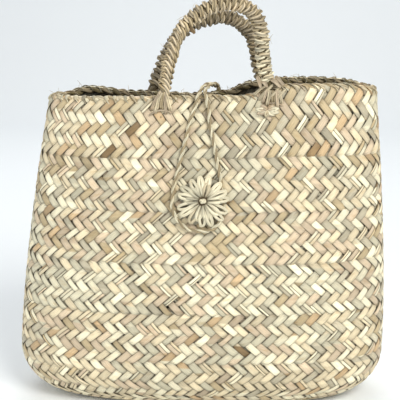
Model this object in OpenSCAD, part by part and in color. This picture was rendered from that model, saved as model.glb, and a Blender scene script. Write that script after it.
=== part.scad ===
// Plaited palm-leaf market basket with two rope handles and a cord-and-rosette closure.
// Millimetres. +Z is up, the front (rosette side) is -Y, and the origin is the centre of
// the underside of the floor.

/* [Basket] */
// Height of the rim's centreline above the floor
wall_h = 346; // [330:4:366]
// Width of the widest course
body_w = 420; // [400:4:432]
// Width of the mouth
rim_w = 358; // [340:2:366]
// Depth of the lowest upright course
body_d = 152; // [144:2:160]
// Depth of the mouth before it is pinched
rim_d = 84; // [80:1:90]
// Width of the flat floor
floor_w = 290; // [270:4:298]
// Depth of the flat floor
floor_d = 76; // [70:2:90]
// Height of the rounded foot
foot_r = 58; // [50:1:59]
// Thickness of the plait
wall_t = 5; // [4:0.5:6]
// How far the rim leans to the right of the floor
lean = 12; // [6:1:14]
// How strongly the closure draws the mouth together
pinch = 0.45; // [0.35:0.01:0.5]

/* [Rim and seams] */
// Radius of the rim binding
rim_r = 5; // [4:0.5:5.5]
// Radius of the cord that sews two courses together
seam_r = 1.5; // [1.2:0.1:1.6]

/* [Handles] */
// Radius of the front arch's centreline
arch_r = 45; // [42:1:46]
// Height of the front arch's centreline above the rim
arch_h = 101; // [98:1:106]
// How much lower the rear arch is
rear_drop = 18; // [14:1:20]
// How far each leg flares from upright, in degrees
leg_flare = 13; // [10:1:14]
// How much further the rear legs lean out than the front ones (degrees)
rear_splay = 5; // [3:1:6]
// Radius of the rope core
core_r = 4.6; // [4:0.1:4.6]
// Outer radius of the wrapped handle
grip_r = 8.2; // [7.6:0.1:8.4]
// Spacing of the wrapping turns
wrap_pitch = 8.7; // [8.6:0.1:9]
// Where the front handle sits, measured from the floor's centre
front_x = 18; // [14:1:20]
// Where the rear handle sits, measured from the floor's centre
rear_x = 8; // [4:1:12]

/* [Closure] */
// Diameter of the closure cord
cord_d = 4.2; // [3.8:0.1:4.2]
// Outer radius of the rosette
rosette_r = 27.5; // [24:0.5:28]
// Number of petals on the rosette
petal_count = 18; // [14:1:18]

/* [Hidden] */

round_fn = 48;
foot_square = 2.7;     // exponent of the rounded plan outline at the floor
rim_square = 2.1;      // and at the rim, where it is almost an ellipse
girth_steps = 72;      // stations round the basket
foot_steps = 4;        // steps over each course of the rounded foot
foot_split = 45;       // how far up the rounded foot its two courses meet, in degrees
pinch_w = 75;          // half-width of the pinched part of the mouth
sweep = 1.5;           // how late the walls draw in towards the rim
course_count = 7;
foot_courses = 2;      // courses in the rounded foot
foot_top = 62;         // top of the second course, just above the rounded foot
gap = 0.1;             // clearance between pieces that are sewn together
tube_sides = 8;

top_z = wall_h - rim_r;
course_h = (top_z - foot_top) / (course_count - foot_courses);
function course_top(i) = foot_top + (i - foot_courses) * course_h;
seam_turn = (seam_r + gap) / (body_d - floor_d) * 360 / PI; // half a seam's width on the foot

// ---- shape of the wall ----

function spow(v, e) = sign(v) * pow(abs(v), e);
function rise(z) = max(0, (z - foot_r) / (wall_h - foot_r));
function squareness(z) = foot_square + (rim_square - foot_square) * rise(z);
function half_w(z) = body_w / 2 + (rim_w - body_w) / 2 * pow(rise(z), sweep);
function half_d(z) = body_d / 2 + (rim_d - body_d) / 2 * pow(rise(z), sweep);
function drawn_in(x, z) = 1 - pinch * pow(rise(z), 4) * exp(-pow(x / pinch_w, 2));

// Point on the wall above the foot, t degrees round from +X, inset from the outer face
function wall_pt(z, t, inset) =
    let (x = (half_w(z) - inset) * spow(cos(t), 2 / squareness(z)),
         d = half_d(z) * drawn_in(x, z) - inset,
         y = d * spow(sin(t), 2 / squareness(z)))
    [x + lean * rise(z), y, z];

// Point on the rounded foot, a degrees up from the floor (0) to upright (90)
function foot_pt(a, t, inset) =
    let (hw = floor_w / 2 + ((body_w - floor_w) / 2 - inset) * sin(a),
         hd = floor_d / 2 + ((body_d - floor_d) / 2 - inset) * sin(a))
    [hw * spow(cos(t), 2 / foot_square), hd * spow(sin(t), 2 / foot_square),
     foot_r - (foot_r - inset) * cos(a)];

// Depth of the outer face at a given x and z, for pieces that lie on the wall
function face_y(x, z) =
    let (w = x - lean * rise(z), n = squareness(z))
    half_d(z) * drawn_in(w, z) * pow(1 - pow(abs(w) / half_w(z), n), 1 / n);

function girth(k) = 360 * k / girth_steps;
function ring_at(z, inset) = [for (k = [0 : girth_steps - 1]) wall_pt(z, girth(k), inset)];
function foot_ring(a, inset) = [for (k = [0 : girth_steps - 1]) foot_pt(a, girth(k), inset)];

// Closed shell from a list of rings, each of n points, whose last ring joins the first
module ring_loop(rings) {
    n = len(rings[0]);
    m = len(rings);
    points = [for (r = rings, p = r) p];
    faces = [for (i = [0 : m - 1], k = [0 : n - 1])
        let (a = i * n, b = ((i + 1) % m) * n, q = (k + 1) % n)
        each [[a + k, b + k, b + q], [a + k, b + q, a + q]]];
    polyhedron(points, faces);
}

// Tube with closed ends from a list of rings
module ring_tube(rings) {
    n = len(rings[0]);
    m = len(rings);
    points = [for (r = rings, p = r) p];
    sides = [for (i = [0 : m - 2], k = [0 : n - 1])
        let (a = i * n, b = (i + 1) * n, q = (k + 1) % n)
        each [[a + k, b + k, b + q], [a + k, b + q, a + q]]];
    caps = [[for (k = [0 : n - 1]) k], [for (k = [n - 1 : -1 : 0]) (m - 1) * n + k]];
    polyhedron(points, concat(sides, caps));
}

// ---- floor and courses ----

module base_panel() {
    color("burlywood")
        linear_extrude(wall_t)
            polygon([for (k = [0 : girth_steps - 1])
                let (p = foot_pt(0, girth(k), 0))
                [p.x * (1 - 2 * gap / floor_w), p.y * (1 - 2 * gap / floor_d)]]);
}

// A course of the rounded foot, between two angles, with any rings of wall above it
module foot_course(low, high, above) {
    turns = [for (i = [0 : foot_steps]) low + (high - low) * i / foot_steps];
    outer = [for (a = turns) foot_ring(a, 0)];
    inner = [for (i = [foot_steps : -1 : 0]) foot_ring(turns[i], wall_t)];
    rims = [for (z = above, inset = [0, wall_t]) ring_at(z, inset)];
    ring_loop(concat(outer, rims, inner));
}

// An upright course: a closed band from one seam to the next
module course(i) {
    low = course_top(i - 1) + seam_r + gap;
    high = i == course_count ? top_z - gap : course_top(i) - seam_r - gap;
    mid = (low + high) / 2;
    outer = [for (z = [low, mid, high]) ring_at(z, 0)];
    inner = [for (z = [high, mid, low]) ring_at(z, wall_t)];
    ring_loop(concat(outer, inner));
}

module band_1() { color("wheat") foot_course(0, foot_split - seam_turn, []); }
module band_2() {
    color("wheat") foot_course(foot_split + seam_turn, 90, [foot_top - seam_r - gap]);
}
module band_3() { color("wheat") course(3); }
module band_4() { color("wheat") course(4); }
module band_5() { color("wheat") course(5); }
module band_6() {
    color("wheat") difference() {
        course(6);
        rosette_axis() cylinder(r = shank_r + gap, h = 4 * wall_t, center = true, $fn = round_fn);
    }
}
module band_7() {
    color("wheat") difference() {
        course(7);
        for (f = feet) foot_axis(f)
            cylinder(r = tie_r + gap, h = 4 * wall_t, center = true, $fn = round_fn);
    }
}

// ---- seams and rim: round cords that follow the wall ----

function unit(v) = v / norm(v);
function around(k) = (k + girth_steps) % girth_steps;

// Rings of a cord of radius r whose centres are the points of one girth ring
function cord_rings(centres, r, sides) = [for (k = [0 : girth_steps - 1])
    let (along = unit(centres[around(k + 1)] - centres[around(k - 1)]),
         out = [along.y, -along.x, 0])
    [for (j = [0 : sides - 1])
        centres[k] + r * cos(360 * j / sides) * out + [0, 0, r * sin(360 * j / sides)]]];

module seam_cord(z) {
    color("tan") ring_loop(cord_rings(ring_at(z, wall_t / 2), seam_r, 6));
}

// The floor seam lies inside, on the joint between floor and first course
module seam_cord_0() {
    on_floor = [for (p = foot_ring(0, 0)) [p.x, p.y, wall_t + seam_r + 2 * gap]];
    color("tan") ring_loop(cord_rings(on_floor, seam_r, 6));
}
// The next lies on the rounded foot, between its two courses
module seam_cord_1() {
    color("tan") ring_loop(cord_rings(foot_ring(foot_split, wall_t / 2), seam_r, 6));
}
module seam_cord_2() { seam_cord(course_top(2)); }
module seam_cord_3() { seam_cord(course_top(3)); }
module seam_cord_4() { seam_cord(course_top(4)); }
module seam_cord_5() { seam_cord(course_top(5)); }
module seam_cord_6() { seam_cord(course_top(6)); }

module rim_binding() {
    color("darkkhaki") ring_loop(cord_rings(ring_at(wall_h, wall_t / 2), rim_r, tube_sides));
}

// ---- handles ----

foot_gap = 2;           // between the rim binding and a leg's end
rear_wider = 5;         // how much larger the rear arch's radius is
front_skew = 11;        // how far the top of the front arch leans to the right
rear_skew = 12;         // and of the rear arch
core_rings = 36;
wrap_bore = core_r + 0.2;
wrap_half = 3;          // half the width of one turn
wrap_end = 1.9;         // bare rope below the last turn

// Sizes of a handle; side is -1 at the front and 1 at the rear
function middle(side) = side < 0 ? front_x : rear_x;
function radius(side) = side < 0 ? arch_r : arch_r + rear_wider;
function height(side) = side < 0 ? arch_h : arch_h - rear_drop;
function skew(side) = side < 0 ? front_skew : rear_skew;
function flare(side) = side < 0 ? leg_flare : leg_flare + rear_splay;

// Height of a leg's straight part, up from the rim's centreline, and the foot's place
function leg_h(side) = height(side) - radius(side) * (1 - sin(flare(side)));
function foot_x(side) = radius(side) * cos(flare(side)) + leg_h(side) * tan(flare(side));
function foot_at(f) = middle(f[1]) + f[0] * foot_x(f[1]);
function rim_y(side) =
    (face_y(foot_at([-1, side]), wall_h) + face_y(foot_at([1, side]), wall_h) - wall_t) / 2;

// Frame of a handle: +X across, +Z up from the rim
module handle_frame(side) {
    translate([middle(side), side * rim_y(side), wall_h]) children();
}

// Half the arch's curved length, and half the handle's length down to a leg's end
function bend(side) = radius(side) * (90 - flare(side)) * PI / 180;
function half_len(side) = bend(side) + (leg_h(side) - rim_r - foot_gap) / cos(flare(side));

// Point on a handle's centreline, s millimetres along from its top
function arch_pos(side, s) =
    let (r = radius(side), straight = max(0, abs(s) - bend(side)),
         a = min(abs(s), bend(side)) / r * 180 / PI,
         x = sign(s) * (r * sin(a) + straight * sin(flare(side))),
         z = height(side) - r * (1 - cos(a)) - straight * cos(flare(side)))
    [x + skew(side) * pow(z / height(side), 2), 0, z];

// How far a handle has turned from level there, in degrees
function arch_turn(side, s) =
    let (d = arch_pos(side, s + 1) - arch_pos(side, s - 1)) atan2(-d.z, d.x);

module handle_core(side) {
    color("peru") handle_frame(side) ring_tube([for (i = [0 : core_rings])
        let (s = half_len(side) * (2 * i / core_rings - 1), a = arch_turn(side, s),
             out = [sin(a), 0, cos(a)])
        [for (j = [0 : tube_sides - 1])
            arch_pos(side, s) + core_r * cos(360 * j / tube_sides) * out
                - [0, core_r * sin(360 * j / tube_sides), 0]]]);
}

module wrap_turn() {
    rotate_extrude($fn = round_fn) intersection() {
        translate([core_r, 0]) circle(r = grip_r - core_r, $fn = round_fn);
        translate([wrap_bore, -wrap_half]) square([grip_r, 2 * wrap_half]);
    }
}

module handle_wrap(side) {
    turns = floor((half_len(side) - wrap_half - wrap_end) / wrap_pitch);
    color("khaki") handle_frame(side)
        for (i = [-turns : turns])
            translate(arch_pos(side, i * wrap_pitch))
                rotate([0, 90 + arch_turn(side, i * wrap_pitch), 0]) wrap_turn();
}

module front_handle_core() { handle_core(-1); }
module front_handle_wrap() { handle_wrap(-1); }
module rear_handle_core() { handle_core(1); }
module rear_handle_wrap() { handle_wrap(1); }

// ---- handle lashings: strands outside, a tie through the wall, a knot inside ----

tie_r = 2;
tie_drop = 17;                                  // tie's depth below the rim's centreline
strand_r = 1.5;
strand_fan = 5;                                 // spread between neighbouring strands
knot_r = 5;
feet = [[-1, -1], [1, -1], [-1, 1], [1, 1]];    // [left or right, front or rear]

// Axis through the wall at a handle's foot, +Z pointing out of the basket
module foot_axis(f) {
    z = wall_h - tie_drop;
    translate([foot_at(f), f[1] * face_y(foot_at(f), z), z]) rotate([-f[1] * 90, 0, 0]) children();
}

module rod(a, b, r) {
    d = b - a;
    translate(a) rotate([0, acos(d.z / norm(d)), atan2(d.y, d.x)])
        cylinder(r = r, h = norm(d), $fn = 24);
}

// A point just outside the wall at a given x and z
function outside(x, z, side, off) = [x, side * (face_y(x, z) + off), z];

module lashing(f) {
    side = f[1];
    color("tan") {
        foot_axis(f) translate([0, 0, -wall_t - 1]) cylinder(r = tie_r, h = wall_t + 3, $fn = 24);
        for (k = [-1.5 : 1 : 1.5]) {
            high = outside(foot_at(f) + k * strand_fan * 0.7, wall_h - 11, side, strand_r + 0.6);
            low = outside(foot_at(f) + k * strand_fan, wall_h - 26, side, strand_r + 0.6);
            rod(high, low, strand_r);
            translate(low) sphere(r = strand_r + 0.3, $fn = 24);
        }
        rod(outside(foot_at(f) - 9, wall_h - tie_drop, side, 2 * strand_r + 1),
            outside(foot_at(f) + 9, wall_h - tie_drop, side, 2 * strand_r + 1), strand_r);
    }
}

module inner_knot(f) {
    color("peru") foot_axis(f)
        translate([0, 0, -wall_t - knot_r - 1.4]) sphere(r = knot_r, $fn = round_fn);
}

module lashing_front_left() { lashing(feet[0]); }
module lashing_front_right() { lashing(feet[1]); }
module lashing_rear_left() { lashing(feet[2]); }
module lashing_rear_right() { lashing(feet[3]); }
module knot_front_left() { inner_knot(feet[0]); }
module knot_front_right() { inner_knot(feet[1]); }
module knot_rear_left() { inner_knot(feet[2]); }
module knot_rear_right() { inner_knot(feet[3]); }

// ---- closure cord: one cord, doubled from the rear rim, looped round the rosette ----

cord_knot_r = 3.6;

// Route of the left strand over the mouth, from the knot on the rear rim to the front rim
strap_left = [[14, 15, 355], [11, 8, 358], [8, 1, 359], [5, -7, 359], [2, -14, 357],
              [0, -20, 354]];
// Route of the right strand over the mouth, a cord's width to the right
strap_right = [[19, 15, 355], [16, 8, 358], [13, 1, 359], [10, -7, 359], [7, -14, 357],
               [5, -20, 354]];
// Route from the front rim down the left, under the rosette and back up the right
bight_route = [[0, -22, 354], [-2, -27, 351], [-4, -29, 345], [-6, -30, 337], [-10, -34, 326],
               [-15, -41, 306], [-20, -47, 286], [-25, -53, 266], [-28, -56, 251],
               [-29, -59, 237], [-24, -62, 224], [-13, -64, 214], [2, -64, 211],
               [15, -64, 214], [23, -61, 224], [26, -58, 237], [24, -55, 250], [22, -51, 266],
               [18, -46, 286], [14, -40, 306], [10, -34, 326], [9, -30, 337], [7, -29, 345],
               [6, -27, 351], [5, -22, 354]];

// Smooth curve through the route, with a number of steps to each stretch
function curve_pt(p, i, u) =
    let (a = p[max(i - 1, 0)], b = p[i], c = p[i + 1], d = p[min(i + 2, len(p) - 1)])
    0.5 * (2 * b + (c - a) * u + (2 * a - 5 * b + 4 * c - d) * u * u
           + (3 * b - a - 3 * c + d) * u * u * u);
function smooth(p, steps) = concat(
    [for (i = [0 : len(p) - 2], s = [0 : steps - 1]) curve_pt(p, i, s / steps)],
    [p[len(p) - 1]]);

// Sides of a cord along an open curve; each ring is turned from the one before
function side_of(pts, i) =
    let (t = unit(pts[min(i + 1, len(pts) - 1)] - pts[max(i - 1, 0)]),
         ref = abs(t.x) < 0.9 ? [1, 0, 0] : [0, 1, 0])
    unit(ref - t * (ref * t));
module cord(route, steps) {
    pts = smooth(route, steps);
    ring_tube([for (i = [0 : len(pts) - 1])
        let (t = unit(pts[min(i + 1, len(pts) - 1)] - pts[max(i - 1, 0)]),
             n = side_of(pts, i), b = cross(t, n))
        [for (j = [0 : tube_sides - 1])
            pts[i] + cord_d / 2 * (cos(360 * j / tube_sides) * n
                                   - sin(360 * j / tube_sides) * b)]]);
}

module closure_strap() {
    color("palegoldenrod") {
        cord(strap_left, 2);
        cord(strap_right, 2);
    }
}
module closure_bight() { color("palegoldenrod") cord(bight_route, 2); }
module closure_knot() {
    knot_x = 16.5;
    color("peru")
        translate([knot_x, face_y(knot_x, wall_h) - wall_t / 2, wall_h + rim_r + cord_knot_r + gap])
            sphere(r = cord_knot_r, $fn = round_fn);
}

// ---- rosette ----

rosette_x = 4;
rosette_z = 242;
rosette_face = atan((face_y(rosette_x, rosette_z - 25) - face_y(rosette_x, rosette_z + 25)) / 50);
rosette_lift = 5;                               // room behind the petals for the cord
shank_r = 2.2;
disc_r = 9;
disc_t = 4;
petal_wire = 1.2;
petal_ring = 6.5;
petal_tilt = 60;

// Axis of the rosette: +Z points squarely out of the front wall, which slopes back
module rosette_axis() {
    translate([rosette_x, -face_y(rosette_x, rosette_z), rosette_z])
        rotate([90 - rosette_face, 0, 0]) children();
}

module rosette_petals() {
    rise_up = (petal_ring + petal_wire) * sin(petal_tilt);
    color("cornsilk") rosette_axis() translate([0, 0, rosette_lift + rise_up])
        for (k = [0 : petal_count - 1]) rotate([0, 0, 360 * k / petal_count])
            translate([rosette_r - petal_ring - petal_wire, 0, 0]) rotate([petal_tilt, 0, 0])
                rotate_extrude($fn = round_fn) translate([petal_ring, 0])
                    circle(r = petal_wire, $fn = 24);
}

module rosette_disc() {
    color("wheat") rosette_axis() translate([0, 0, rosette_lift])
        cylinder(r = disc_r, h = disc_t, $fn = round_fn);
}

module rosette_heart() {
    heart_r = 5.5;
    color("cornsilk") rosette_axis()
        translate([0, 0, rosette_lift + disc_t + heart_r + gap])
            sphere(r = heart_r, $fn = round_fn);
}

module rosette_shank() {
    color("tan") rosette_axis() translate([0, 0, -wall_t - 2])
        cylinder(r = shank_r, h = wall_t + 2 + rosette_lift - gap, $fn = round_fn);
}

module rosette_stop() {
    stop_r = 6;
    color("peru") rosette_axis() translate([0, 0, -wall_t - 2 - gap - stop_r])
        sphere(r = stop_r, $fn = round_fn);
}

base_panel();
band_1();
band_2();
band_3();
band_4();
band_5();
band_6();
band_7();
seam_cord_0();
seam_cord_1();
seam_cord_2();
seam_cord_3();
seam_cord_4();
seam_cord_5();
seam_cord_6();
rim_binding();
front_handle_core();
front_handle_wrap();
rear_handle_core();
rear_handle_wrap();
lashing_front_left();
lashing_front_right();
lashing_rear_left();
lashing_rear_right();
knot_front_left();
knot_front_right();
knot_rear_left();
knot_rear_right();
closure_strap();
closure_bight();
closure_knot();
rosette_petals();
rosette_heart();
rosette_disc();
rosette_shank();
rosette_stop();
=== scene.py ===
"""A plaited palm-leaf market basket: every strip, rope and cord is its own strand of mesh.

Shapes are worked out in millimetres in the same frame as the CAD model and turned into
metres only when a mesh is made. The shape functions at the top repeat those of the CAD;
the rise and dip of the soft rim, and the sag of the front handle's legs, are drawn only here.
"""
import math

import bpy
import numpy as np
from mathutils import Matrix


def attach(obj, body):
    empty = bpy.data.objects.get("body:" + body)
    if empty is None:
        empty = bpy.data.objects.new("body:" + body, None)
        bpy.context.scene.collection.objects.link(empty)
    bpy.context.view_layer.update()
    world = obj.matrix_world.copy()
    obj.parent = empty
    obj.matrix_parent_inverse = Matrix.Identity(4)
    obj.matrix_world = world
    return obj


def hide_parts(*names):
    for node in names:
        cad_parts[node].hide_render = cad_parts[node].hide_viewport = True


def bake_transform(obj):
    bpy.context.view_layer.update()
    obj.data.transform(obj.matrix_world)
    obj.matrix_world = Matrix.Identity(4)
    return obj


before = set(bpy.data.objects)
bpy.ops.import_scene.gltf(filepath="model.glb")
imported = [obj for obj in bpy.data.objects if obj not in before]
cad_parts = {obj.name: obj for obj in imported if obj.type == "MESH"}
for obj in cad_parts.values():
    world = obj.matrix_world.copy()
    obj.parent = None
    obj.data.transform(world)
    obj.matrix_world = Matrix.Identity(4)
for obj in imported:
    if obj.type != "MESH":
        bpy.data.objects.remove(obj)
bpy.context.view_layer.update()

MM = 0.001
rng = np.random.default_rng(7)

# ---- camera: the angle and distance that the basket is seen from ----

CAMERA_AT = (0.031, -1.000, 0.502)
CAMERA_PITCH = 15.31
CAMERA_YAW = 1.84
CAMERA_LENS = 82.8


def make_camera():
    data = bpy.data.cameras.new("camera")
    data.lens = CAMERA_LENS
    data.sensor_width = 36
    camera = bpy.data.objects.new("camera", data)
    camera.location = CAMERA_AT
    camera.rotation_euler = (math.radians(90 - CAMERA_PITCH), 0, math.radians(CAMERA_YAW))
    bpy.context.scene.collection.objects.link(camera)
    bpy.context.scene.camera = camera


make_camera()

# ---- shape of the basket, as in the CAD ----

WALL_H, BODY_W, RIM_W, BODY_D, RIM_D = 346, 420, 358, 152, 84
FLOOR_W, FLOOR_D, FOOT_R, LEAN, PINCH = 290, 76, 58, 12, 0.45
PINCH_W, SWEEP, FOOT_SQUARE, RIM_SQUARE = 75, 1.5, 2.7, 2.1
RIM_R, FOOT_TOP, COURSES, FOOT_COURSES = 5, 62, 7, 2
TOP_Z = WALL_H - RIM_R
COURSE_H = (TOP_Z - FOOT_TOP) / (COURSES - FOOT_COURSES)


def path_length(path):
    """Length along a path at each of its points."""
    return np.concatenate([[0], np.cumsum(np.linalg.norm(np.diff(path, axis=0), axis=1))])


def spow(v, e):
    """Power that keeps the sign."""
    return np.sign(v) * np.abs(v) ** e


def rise(z):
    return np.maximum(0, (z - FOOT_R) / (WALL_H - FOOT_R))


def squareness(z):
    return FOOT_SQUARE + (RIM_SQUARE - FOOT_SQUARE) * rise(z)


def half_w(z):
    return BODY_W / 2 + (RIM_W - BODY_W) / 2 * rise(z) ** SWEEP


def half_d(z):
    return BODY_D / 2 + (RIM_D - BODY_D) / 2 * rise(z) ** SWEEP


def drawn_in(x, z):
    return 1 - PINCH * rise(z) ** 4 * np.exp(-((x / PINCH_W) ** 2))


def wall_pt(z, t, inset):
    """Point on the wall above the foot, t radians round from +X."""
    x = (half_w(z) - inset) * spow(np.cos(t), 2 / squareness(z))
    d = half_d(z) * drawn_in(x, z) - inset
    y = d * spow(np.sin(t), 2 / squareness(z))
    return np.stack([x + LEAN * rise(z), y, z + 0 * t], -1)


def foot_pt(a, t, inset):
    """Point on the rounded foot, a radians up from the floor."""
    hw = FLOOR_W / 2 + ((BODY_W - FLOOR_W) / 2 - inset) * np.sin(a)
    hd = FLOOR_D / 2 + ((BODY_D - FLOOR_D) / 2 - inset) * np.sin(a)
    x = hw * spow(np.cos(t), 2 / FOOT_SQUARE)
    y = hd * spow(np.sin(t), 2 / FOOT_SQUARE)
    return np.stack([x, y, FOOT_R - (FOOT_R - inset) * np.cos(a) + 0 * t], -1)


def face_y(x, z):
    """Depth of the outer face at a given x and z."""
    w = x - LEAN * rise(z)
    n = squareness(z)
    return half_d(z) * drawn_in(w, z) * (1 - (np.abs(w) / half_w(z)) ** n) ** (1 / n)


# ---- the soft rim rises and dips: [x, lift] along its front and its rear ----

FRONT_LIFT = np.array([[-190, -2], [-60, 0], [40, 0], [92, 14], [150, 14], [190, 8]])
REAR_LIFT = np.array([[-190, -2], [-150, -2], [-128, 4], [-80, -2], [0, -3], [26, 0], [54, 10],
                      [92, 14], [150, 14], [190, 8]])


def eased(x, table):
    """Value at x between the points of a table, eased in and out at each of them."""
    k = np.clip(np.searchsorted(table[:, 0], x) - 1, 0, len(table) - 2)
    u = np.clip((x - table[k, 0]) / (table[k + 1, 0] - table[k, 0]), 0, 1)
    return table[k, 1] + (table[k + 1, 1] - table[k, 1]) * u * u * (3 - 2 * u)


def rim_lift(x, y):
    """Lift of the rim at a place, eased over from the front's to the rear's."""
    share = np.clip(0.5 - y / 16, 0, 1)
    return eased(x, FRONT_LIFT) * share + eased(x, REAR_LIFT) * (1 - share)


def slumped(points):
    """Points of the wall with the rim's rise and dip, which fades out below it."""
    out = points.copy()
    fade = np.clip(rise(points[..., 2]), 0, 1.1) ** 6
    out[..., 2] += rim_lift(points[..., 0], points[..., 1]) * fade
    return out


# ---- rows of the plait: row 0 starts at the top of the rounded foot ----

ROW_H = 10.6
FOOT_ROWS = 8.3


def row_of(z):
    return (z - FOOT_R) / ROW_H


def skin(t, row, inset):
    """Point on the basket at a girth angle and a row, inset from the outer face."""
    angle = math.pi / 2 * np.clip(1 + row / FOOT_ROWS, 0, 1)
    low = foot_pt(angle, t, inset)
    high = wall_pt(FOOT_R + ROW_H * np.maximum(row, 0), t, inset)
    return slumped(np.where((row < 0)[..., None], low, high))


def girth_table(row):
    """Lengths round the basket from the front centre, and the girth angles they are at."""
    t = np.linspace(-math.pi / 2, 1.5 * math.pi, 1441)
    return path_length(skin(t, np.full_like(t, row), 0)), t


# ---- meshes ----

def add_object(name, mesh, material):
    mesh.materials.append(material)
    obj = bpy.data.objects.new(name, mesh)
    bpy.context.scene.collection.objects.link(obj)
    return obj


def quad_mesh(name, points, quads, tint, fibre, material):
    """Mesh of quads only, with a colour and a fibre coordinate at every point."""
    mesh = bpy.data.meshes.new(name)
    mesh.vertices.add(len(points))
    mesh.vertices.foreach_set("co", (points * MM).astype(np.float32).ravel())
    mesh.loops.add(4 * len(quads))
    mesh.loops.foreach_set("vertex_index", quads.astype(np.int32).ravel())
    mesh.polygons.add(len(quads))
    mesh.polygons.foreach_set("loop_start", np.arange(0, 4 * len(quads), 4, dtype=np.int32))
    mesh.update(calc_edges=True)
    mesh.polygons.foreach_set("use_smooth", np.ones(len(quads), dtype=bool))
    colour = mesh.color_attributes.new("tint", "FLOAT_COLOR", "POINT")
    rgba = np.concatenate([tint, np.ones((len(tint), 1))], 1)
    colour.data.foreach_set("color", rgba.astype(np.float32).ravel())
    along = mesh.attributes.new("fibre", "FLOAT_VECTOR", "POINT")
    along.data.foreach_set("vector", fibre.astype(np.float32).ravel())
    mesh.validate()
    return add_object(name, mesh, material)


class Strands:
    """Collects closed strands of mesh, then makes one object of them."""

    def __init__(self):
        self.points, self.quads, self.tints, self.fibres = [], [], [], []
        self.count = 0

    def add(self, rings, tint, fibre):
        """rings: (strands, along, around, 3), closed round and capped at both ends."""
        strands, along, around = rings.shape[:3]
        index = np.arange(strands * along * around).reshape(strands, along, around)
        index = index + self.count
        a, b = index[:, :-1], index[:, 1:]
        sides = np.stack([a, np.roll(a, -1, 2), np.roll(b, -1, 2), b], -1).reshape(-1, 4)
        caps = []
        for end, flip in ((index[:, 0], True), (index[:, -1], False)):
            for k in range(around // 2 - 1):
                cap = np.stack([end[:, k], end[:, k + 1], end[:, around - 2 - k],
                                end[:, around - 1 - k]], -1)
                caps.append(cap[:, ::-1] if flip else cap)
        quads = np.concatenate([sides] + caps)
        flat = rings.reshape(-1, 3)
        corner = flat[quads - self.count]
        volume = np.sum(corner[:, 0] * np.cross(corner[:, 1] - corner[:, 0],
                                                corner[:, 2] - corner[:, 0]))
        self.quads.append(quads if volume > 0 else quads[:, ::-1])
        self.points.append(flat)
        self.tints.append(np.broadcast_to(tint, rings.shape).reshape(-1, 3))
        self.fibres.append(fibre.reshape(-1, 3))
        self.count += rings[..., 0].size

    def make(self, name, material, body, slot, *nodes, ride=True):
        obj = quad_mesh(name, np.concatenate(self.points), np.concatenate(self.quads),
                        np.concatenate(self.tints), np.concatenate(self.fibres), material)
        if ride:
            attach(obj, body)
        if nodes:
            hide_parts(*nodes)
        return obj


def unit(v):
    return v / np.maximum(np.linalg.norm(v, axis=-1, keepdims=True), 1e-9)


def smooth_path(points, steps):
    """Curve through given points, with a number of steps to each stretch."""
    p = np.array(points, float)
    p = np.concatenate([p[:1], p, p[-1:]])
    u = (np.arange(steps) / steps)[:, None]
    out = []
    for a, b, c, d in zip(p[:-3], p[1:-2], p[2:-1], p[3:]):
        out.append(0.5 * (2 * b + (c - a) * u + (2 * a - 5 * b + 4 * c - d) * u ** 2
                          + (3 * b - a - 3 * c + d) * u ** 3))
    return np.concatenate(out + [p[-2:-1]])


def resample(path, step):
    """The same path with points a step apart."""
    length = path_length(path)
    at = np.linspace(0, length[-1], max(3, int(round(length[-1] / step)) + 1))
    return np.stack([np.interp(at, length, path[:, k]) for k in range(3)], -1)


def path_frame(path):
    """Tangents and two normals along a path, carried forward without twisting."""
    tangent = unit(np.gradient(path, axis=0))
    start = np.cross(tangent[0], [0.31, 0.17, 0.93])
    normal = [start / np.linalg.norm(start)]
    for t in tangent[1:]:
        n = normal[-1] - t * np.dot(normal[-1], t)
        normal.append(n / np.linalg.norm(n))
    normal = np.array(normal)
    return tangent, normal, np.cross(tangent, normal)


def add_tube(strands, path, radius, tint, sides=8, flat=1.0, lobes=0, lobe=0.12, spin=0.0,
             groove=0.35, taper=3, normals=None):
    """Round or flattened strand along a path, tapered over its last few rings.

    lobes are the leaves twisted up in it; the grooves between them are darker, as painted
    shade.
    """
    tangent, normal, side = path_frame(path)
    if normals is not None:
        side = unit(normals - tangent * np.sum(normals * tangent, -1, keepdims=True))
        normal = np.cross(side, tangent)
    length = path_length(path)
    angle = 2 * math.pi * np.arange(sides) / sides
    r = np.broadcast_to(radius, len(path)).astype(float).copy()
    if taper:
        ramp = np.minimum(np.arange(len(path)) + 1, len(path) - np.arange(len(path)))
        r = r * np.clip(ramp / taper, 0.25, 1) ** 0.5
    wave = np.cos(lobes * angle[None] + spin * length[:, None]) if lobes else \
        np.ones((len(path), sides))
    reach = r[:, None] * (1 + lobe * wave if lobes else wave)
    rings = path[:, None] + (reach * np.cos(angle))[..., None] * normal[:, None] \
        + (reach * flat * np.sin(angle))[..., None] * side[:, None]
    seed = rng.uniform(0, 400)
    fibre = np.stack([np.broadcast_to(length[:, None], rings.shape[:2]),
                      r[:, None] * np.cos(angle) + seed, r[:, None] * np.sin(angle)], -1)
    shade = np.asarray(tint)
    if shade.ndim == 2:
        shade = shade[:, None]
    # painted shade in the grooves between the lobes
    shade = shade * (1 - groove * (0.5 - 0.5 * wave))[..., None]
    strands.add(rings[None], shade[None], fibre[None])


def add_twist(strands, path, plies, ply_r, offset, period, tints, phase=0.0, normals=None,
              turn=None, **tube):
    """Plies laid round each other along a path, once every period or by the turn given."""
    tangent, normal, side = path_frame(path)
    if normals is not None:
        normal = unit(normals - tangent * np.sum(normals * tangent, -1, keepdims=True))
        side = np.cross(tangent, normal)
    if turn is None:
        turn = 2 * math.pi * path_length(path) / period
    for k in range(plies):
        angle = turn + phase + 2 * math.pi * k / plies
        out = np.cos(angle)[:, None] * normal + np.sin(angle)[:, None] * side
        reach = np.broadcast_to(offset, len(path))[:, None]
        add_tube(strands, path + reach * out, ply_r, tints[k % len(tints)], **tube)


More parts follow.
